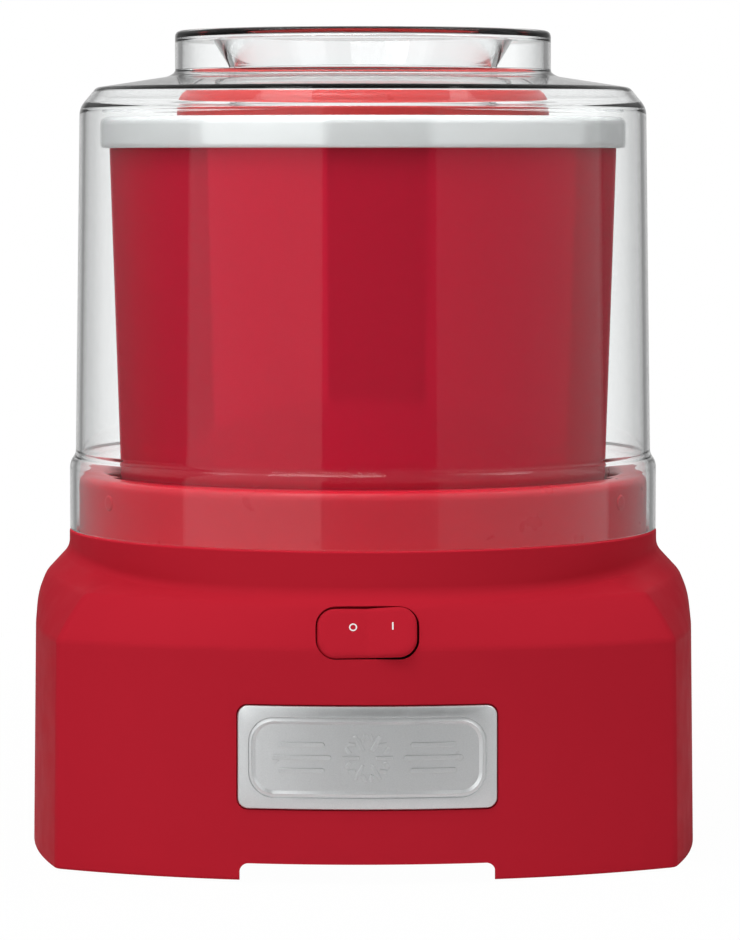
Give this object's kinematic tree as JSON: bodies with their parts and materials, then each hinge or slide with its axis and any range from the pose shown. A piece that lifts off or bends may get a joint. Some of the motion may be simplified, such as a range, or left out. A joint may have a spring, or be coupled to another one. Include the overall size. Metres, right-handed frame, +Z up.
{
  "type": "ice cream maker",
  "caption": "Countertop ice cream maker: bowed red base with a front rocker switch and blank badge, a turning freezer bowl, a still paddle, and a clear lid with an open spout.",
  "frame": {"origin": "on the table, on the bowl's axis", "axes": "+Z up, -Y front, +X to the right seen from the front"},
  "size_m": [0.2346, 0.2347, 0.287],
  "materials": {
    "red_plastic": "satin moulded red ABS",
    "clear_lid": "clear polished SAN",
    "rim_plastic": "silver grey moulded",
    "badge_metal": "fine bead-blasted satin",
    "aluminium": "spun, satin",
    "steel": "zinc plated or ground",
    "nylon": "natural moulded nylon",
    "black_plastic": "moulded, fine grain",
    "rubber": "moulded",
    "bronze": "sintered bronze",
    "copper_wire": "enamelled copper winding",
    "coolant_gel": "sealed freezing gel"
  },
  "bodies": {
    "base": {"base_housing": "red_plastic", "bottom_cover": "black_plastic", "badge_plate": "badge_metal", "cord_grommet": "black_plastic", "bowl_well": "red_plastic", "first_arbor": "steel", "second_arbor": "steel", "gearbox_tray": "black_plastic", "gearbox_cover": "black_plastic", "drive_bush": "bronze", "shaft_seal": "rubber", "stator_stack": "steel", "motor_coil": "copper_wire", "coil_bobbin": "black_plastic", "upper_bracket": "steel", "lower_bracket": "steel", "upper_bearing": "bronze", "lower_bearing": "bronze", "rocker_pin": "steel", "switch_body": "black_plastic", "foot_1": "rubber", "bottom_screw_1": "steel", "gearbox_screw_1": "steel", "foot_2": "rubber", "bottom_screw_2": "steel", "gearbox_screw_2": "steel", "foot_3": "rubber", "bottom_screw_3": "steel", "gearbox_screw_3": "steel", "foot_4": "rubber", "bottom_screw_4": "steel", "gearbox_screw_4": "steel", "motor_screw_1": "steel", "motor_screw_2": "steel"},
    "drive": {"output_gear": "nylon", "drive_shaft": "steel", "shaft_clip": "steel", "drive_hub": "nylon"},
    "second_gear_body": {"second_gear": "nylon"},
    "first_gear_body": {"first_gear": "nylon"},
    "rotor": {"rotor_core": "steel", "motor_shaft": "steel", "motor_pinion": "bronze", "cooling_fan": "nylon"},
    "rocker": {"switch_rocker": "red_plastic"},
    "bowl": {"bowl_shell": "red_plastic", "filler_plug": "rubber", "bowl_rim": "rim_plastic", "bowl_liner": "aluminium", "coolant_gel": "coolant_gel", "drive_socket": "nylon"},
    "paddle_body": {"paddle": "red_plastic"},
    "lid_body": {"lid": "clear_lid"}
  },
  "joints": [
    {"name": "lid_lift", "type": "slide", "parent": "base", "child": "lid_body", "axis": [0, 0, 1], "range_m": [0, 0.36]},
    {"name": "paddle_lift", "type": "slide", "parent": "base", "child": "paddle_body", "axis": [0, 0, 1], "range_m": [0, 0.1944]},
    {"name": "bowl_lift", "type": "slide", "parent": "drive", "child": "bowl", "axis": [0, 0, 1], "range_m": [0, 0.0432]},
    {"name": "drive_spin", "type": "hinge", "parent": "base", "child": "drive", "pos_m": [0, 0, 0.082], "axis": [0, 0, 1], "continuous": true},
    {"name": "second_gear_spin", "type": "hinge", "parent": "base", "child": "second_gear_body", "pos_m": [-0.03897, 0.0225, 0.078], "axis": [0, 0, 1], "continuous": true},
    {"name": "first_gear_spin", "type": "hinge", "parent": "base", "child": "first_gear_body", "pos_m": [-0.02998, 0.05112, 0.07], "axis": [0, 0, 1], "continuous": true},
    {"name": "rotor_spin", "type": "hinge", "parent": "base", "child": "rotor", "pos_m": [0, 0.05, 0.038], "axis": [0, 0, 1], "continuous": true},
    {"name": "rocker_tilt", "type": "hinge", "parent": "base", "child": "rocker", "pos_m": [0, -0.10922, 0.08295], "axis": [0, 0.4118, 0.9113], "range_deg": [0, 9]}
  ],
  "couplings": [
    {"joint": "paddle_lift", "follows": "lid_lift", "ratio": 0.54},
    {"joint": "bowl_lift", "follows": "lid_lift", "ratio": 0.12},
    {"joint": "second_gear_spin", "follows": "drive_spin", "ratio": -4},
    {"joint": "first_gear_spin", "follows": "drive_spin", "ratio": 16},
    {"joint": "rotor_spin", "follows": "drive_spin", "ratio": -64}
  ]
}
